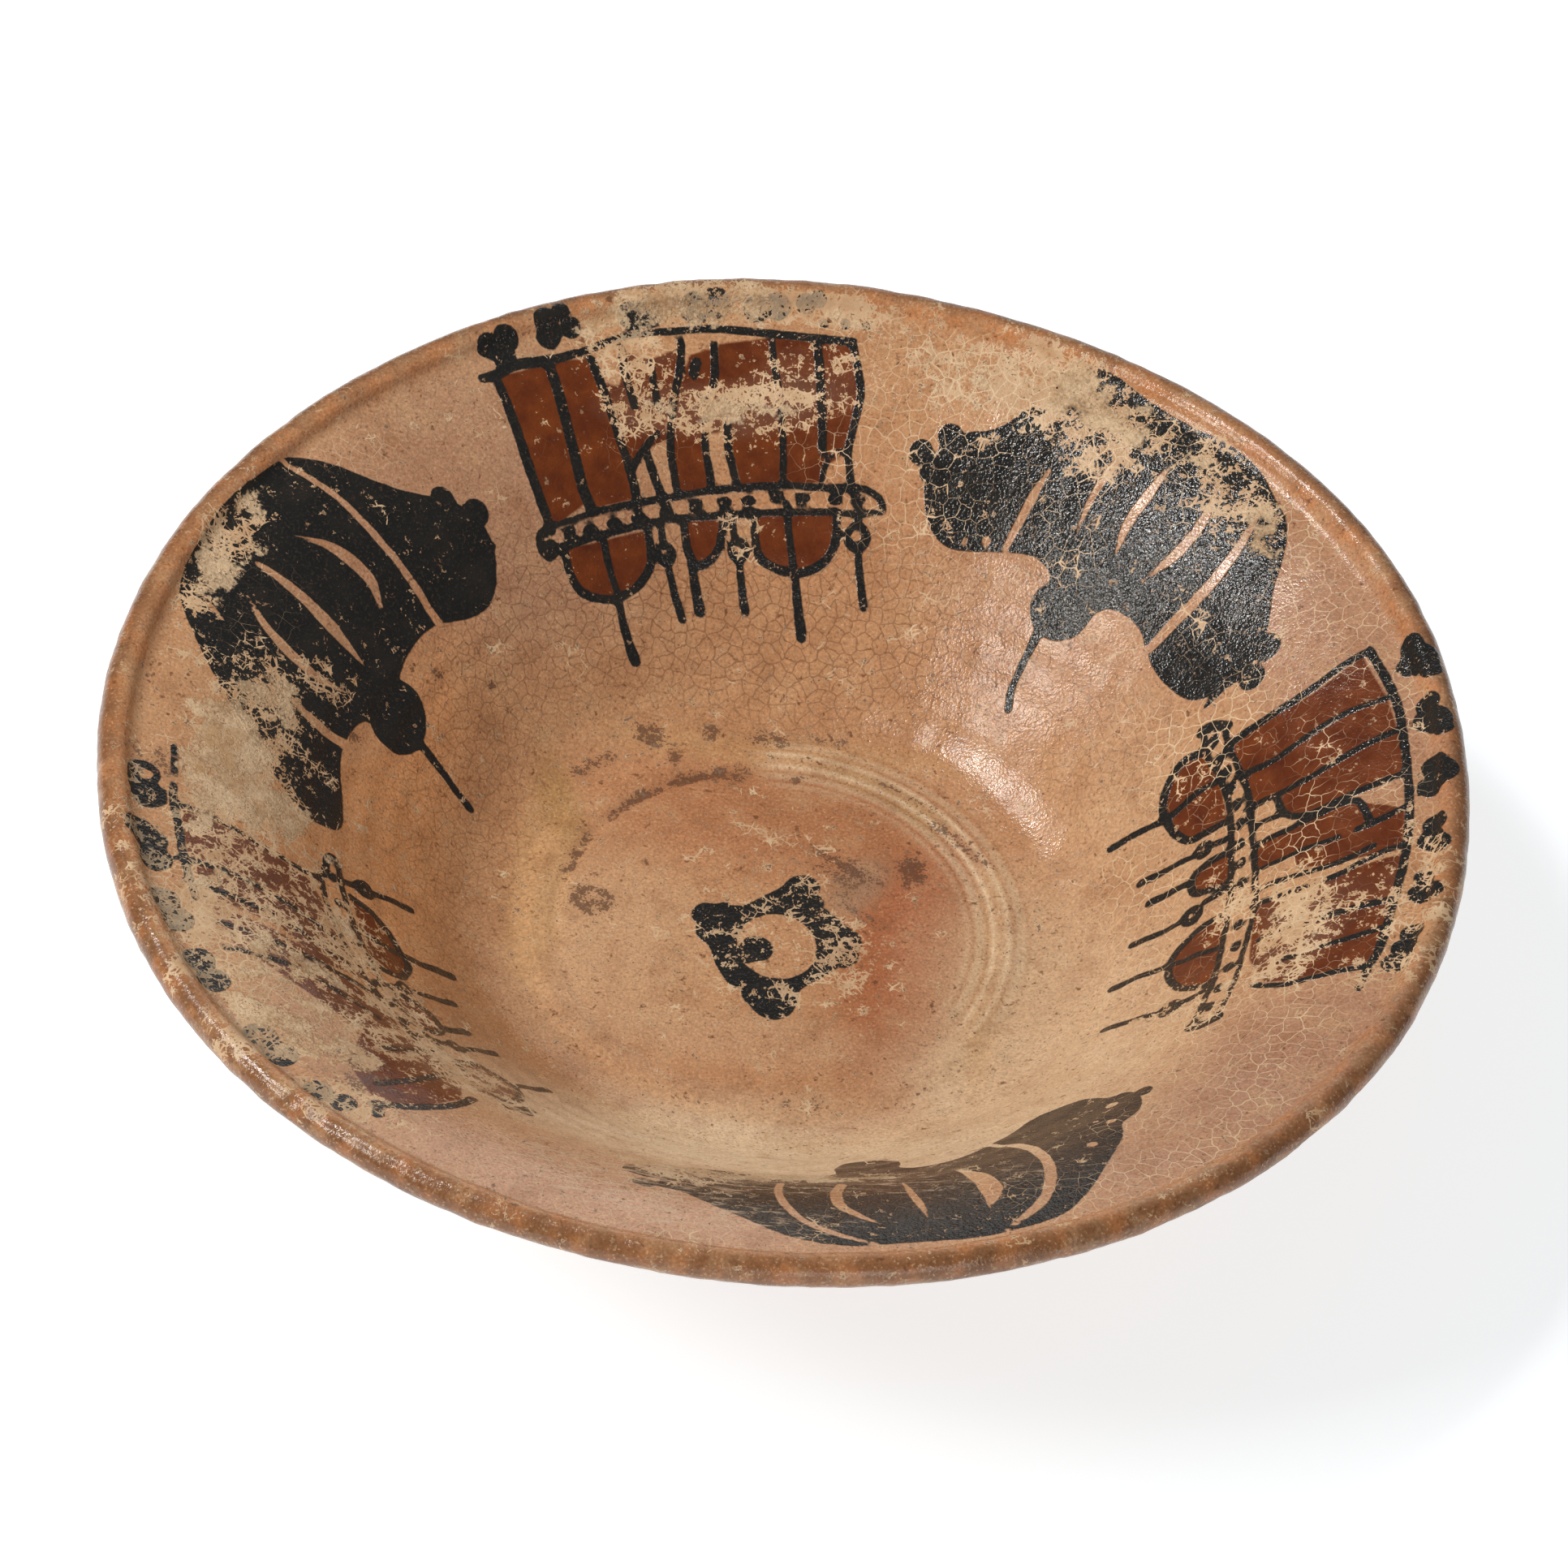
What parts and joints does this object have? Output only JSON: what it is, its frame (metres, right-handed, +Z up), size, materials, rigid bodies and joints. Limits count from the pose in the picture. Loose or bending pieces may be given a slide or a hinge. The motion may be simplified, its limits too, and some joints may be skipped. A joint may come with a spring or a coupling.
{
  "type": "glazed terracotta bowl",
  "caption": "Wide shallow terracotta bowl on a foot ring, with a flaring wall, narrow flange and rounded lip, painted in dark and red-brown under a worn cream and amber glaze",
  "frame": {"origin": "centre of the foot ring's underside, on the surface that the bowl stands on", "axes": "+Z up along the pot's axis through its mouth, -Y towards the side that faces the viewer, +X to the viewer's right"},
  "size_m": [0.2989, 0.2989, 0.075],
  "materials": {
    "glazed_terracotta": "worn glossy lead glaze over cream, near-black and red-brown slip on red clay, crazed, with dull patches of deposit"
  },
  "bodies": {
    "root": {"bowl": "glazed_terracotta"}
  },
  "joints": []
}
